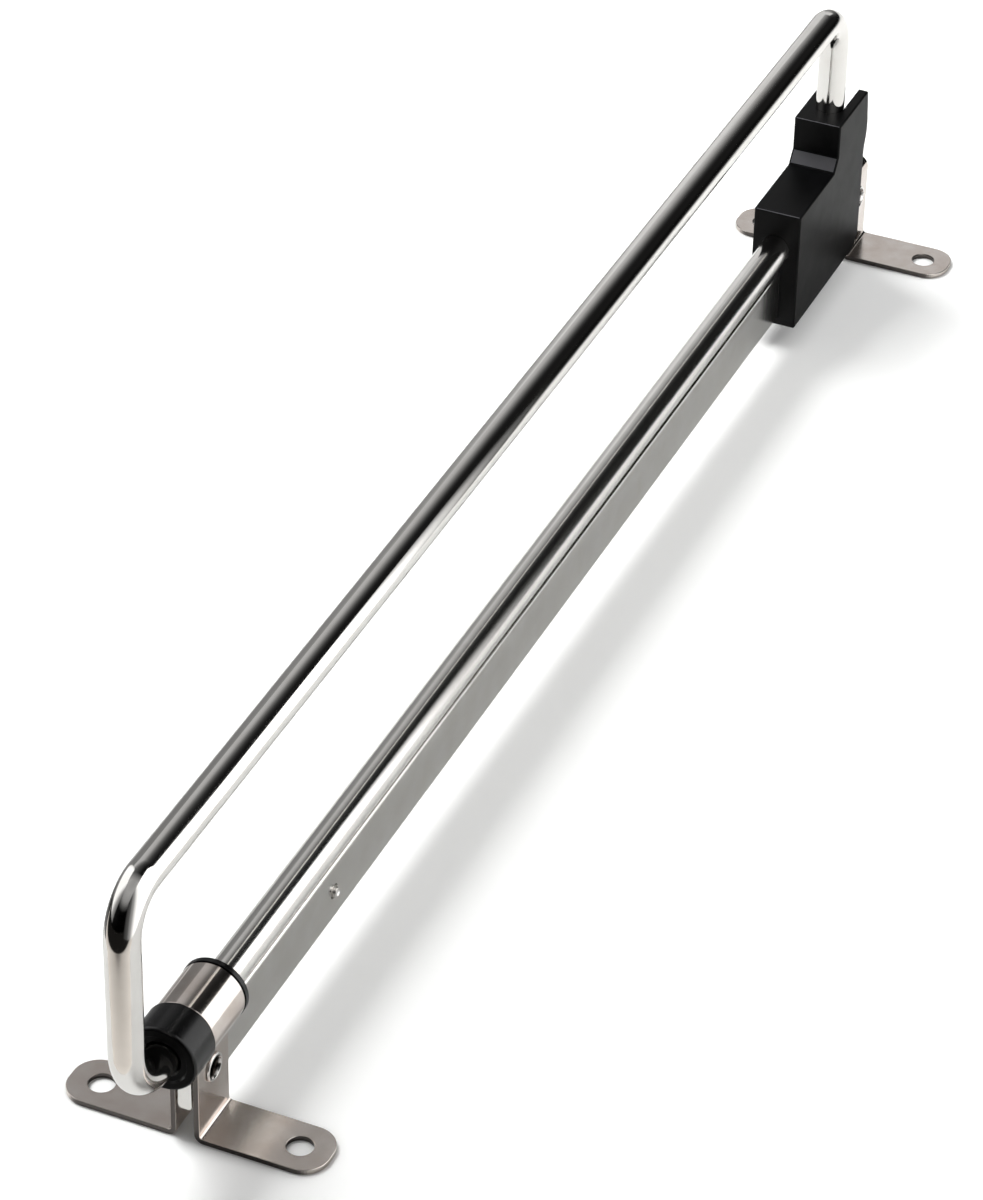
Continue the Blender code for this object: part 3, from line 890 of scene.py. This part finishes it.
def make_softbox(name, place, aim, size, power):
    """Soft lamp; what metal shows of it is a card of its own."""
    lamp = bpy.data.lights.new(name, "AREA")
    lamp.shape = "SQUARE"
    lamp.size = size
    lamp.energy = power
    thing = bpy.data.objects.new(name, lamp)
    bpy.context.scene.collection.objects.link(thing)
    thing.location = place
    thing.rotation_euler = (Vector(aim) - Vector(place)).to_track_quat("-Z", "Y").to_euler()
    thing.visible_glossy = False


def make_camera():
    lens = bpy.data.cameras.new("camera")
    lens.lens = 136.58468
    lens.sensor_width = 36
    lens.sensor_fit = "AUTO"
    camera = bpy.data.objects.new("camera", lens)
    bpy.context.scene.collection.objects.link(camera)
    camera.location = (0.30697768, -0.75299456, 0.59797419)
    camera.rotation_euler = (0.94825652, -0.01858870, 0.41441028)
    bpy.context.scene.camera = camera


bpy.context.scene.view_settings.view_transform = "Standard"
make_camera()
make_floor()
make_room()
make_softbox("left_softbox", place=(-1.16, 0.35, 1.80), aim=(0, 0, 0), size=1.0, power=50)
make_softbox("rear_fill", place=(0.20, 0.40, 0.26), aim=(0.01, 0.13, 0), size=0.2, power=0.5)

# Upright cards: what the metal shows of the studio's sides and back
make_card("white_left_card", (LEFT_X, -0.66, 0.11), (LEFT_X, 0.155, 0.88), "Y",
          [(-0.66, 0.08), (-0.45, 0.27), (-0.387, 0.46), (-0.357, 0.62), (-0.265, 0.96),
           (0.10, 1.0), (0.155, 0.77)], strength=1.3)
make_card("white_right_card", (RIGHT_X, -0.48, 0.0), (RIGHT_X, 0.03, 0.42), "Y",
          [(-0.48, 0.01), (-0.34, 0.05), (-0.27, 0.22), (-0.25, 0.44), (-0.22, 0.74),
           (-0.10, 1.0), (0.03, 1.0)], strength=1.8)
make_card("low_right_card", (RIGHT_X, 0.03, 0.0), (RIGHT_X, 0.185, 0.20), "Y",
          [(-1.0, 1.0), (0.09, 1.0), (0.115, 0.50), (0.14, 0.28), (0.15, 0.16), (0.165, 0.09),
           (0.185, 0.01)], strength=1.8)
make_card("grey_wall_card", (LEFT_X, 0.155, 0.0), (LEFT_X, 1.40, 0.46), "Y",
          [(-1.0, 0.18), (0.155, 0.18), (0.35, 0.22), (0.50, 0.28), (0.57, 0.36), (0.62, 0.44),
           (0.66, 0.54), (0.70, 0.64), (0.74, 0.76), (0.80, 0.78), (1.0, 0.70)])
make_card("white_rear_card", (-0.24, REAR_Y, 0.20), (0.03, REAR_Y, 0.33), "X",
          [(-1.0, 0.72), (1.0, 0.72)])

# Flat cards: the table in front and at the sides, darker away from the rail
make_card("dark_front_card", (-CARD_END, -CARD_END, CARD_Z), (CARD_END, -0.222, CARD_Z), "Y",
          [(-1.0, 0.01), (-0.280, 0.01), (-0.273, 0.52), (-0.245, 0.72), (-0.222, 0.87)],
          tint=(1, 0.94, 0.875))
make_card("dark_left_card", (-CARD_END, -0.222, CARD_Z), (-0.12, -0.06, CARD_Z), "X",
          [(-1.0, 0.02), (-0.33, 0.02), (-0.26, 0.10), (-0.12, 0.20)])
make_card("near_left_card", (-0.12, -0.150, CARD_Z), (-0.03, -0.06, CARD_Z), "X",
          [(-1.0, 0.20), (-0.12, 0.20), (-0.07, 0.35), (-0.045, 0.62), (-0.03, 0.90)])
make_card("grey_left_card", (-CARD_END, -0.06, CARD_Z), (-0.12, CARD_END, CARD_Z), "X",
          [(-1.0, 0.22), (-0.30, 0.24), (-0.20, 0.38), (-0.12, 0.85)])
make_card("dark_right_card", (0.15, 0.15, CARD_Z), (CARD_END, CARD_END, CARD_Z), "X",
          [(-1.0, 0.9), (0.15, 0.9), (0.22, 0.60), (0.30, 0.28), (0.40, 0.03), (1.0, 0.02)])

wire_finish = plated("polished_wire_plate", (0.79, 0.77, 0.74), (0.84, 0.825, 0.80),
                     rough=(0.08, 0.11), stretch=(1, 0.04, 1), lines=1800, depth=0.0000003,
                     worn_below=(0.032, 0.028, 0.16), worn_within=(0.187, 0.180))
# The strip's dark cut-side and hole-wall tone is painted shade
strip_finish = plated("satin_strip_plate", (0.66, 0.585, 0.535), (0.77, 0.715, 0.675),
                      rough=(0.09, 0.13), stretch=(1, 1, 1), lines=6500, depth=0.0000003,
                      painted_cut_shade=(0.10, 0.09, 0.085), worn_below=(0.023, 0.017, 0.11))
bar_finish = plated("satin_bar_plate", (0.74, 0.725, 0.69), (0.80, 0.79, 0.77),
                    rough=(0.17, 0.24), stretch=(1, 1, 0.05), lines=5000, depth=0.0000004)
# The rivet's dark bore tone is painted shade
rivet_finish = plated("bright_rivet_plate", (0.74, 0.72, 0.70), (0.82, 0.80, 0.78),
                      rough=(0.14, 0.20), stretch=(1, 1, 1), lines=5000, depth=0.0000004,
                      painted_bore_shade=(0.04, 0.035, 0.03))
pin_finish = plated("bright_pin_plate", (0.74, 0.72, 0.70), (0.82, 0.80, 0.78),
                    rough=(0.12, 0.18), stretch=(1, 1, 1), lines=5000, depth=0.0000004)
bush_finish = moulded("gloss_black_plastic", shine=0.36, rough=(0.22, 0.26), sparkle=5200,
                      depth=0.0000008)
bush_front_finish = moulded("dull_black_plastic", shine=0.04, rough=(0.42, 0.48), sparkle=4200,
                            depth=0.000003)
# The step's lighter grey is a painted sheen
carriage_finish = moulded("matt_black_plastic", shine=0.11, rough=(0.42, 0.46), sparkle=4200,
                          depth=0.000004, painted_step_sheen=(0.11, 0.11, 0.118))

fit(make_wire_loop(), "rail", "hanger_rail", wire_finish)
fit(make_carriage_block(), "rail", "carriage", carriage_finish)
fit(make_front_strip(), "base", "front_bracket", strip_finish)
fit(make_rear_strip(), "base", "rear_bracket", strip_finish)
fit(make_flat_bar(), "base", "guide_bar", bar_finish)
fit(make_tube_rivet("front_tube_rivet", Y_FRONT), "base", "front_rivet",
    rivet_finish)
fit(make_tube_rivet("rear_tube_rivet", Y_REAR), "base", "rear_rivet", rivet_finish)
fit(make_stop_pin(), "base", "stop_pin", pin_finish)
bush = make_bush()
fit(bush, "base", "guide_bush", bush_finish)
dull_front(bush, bush_front_finish)
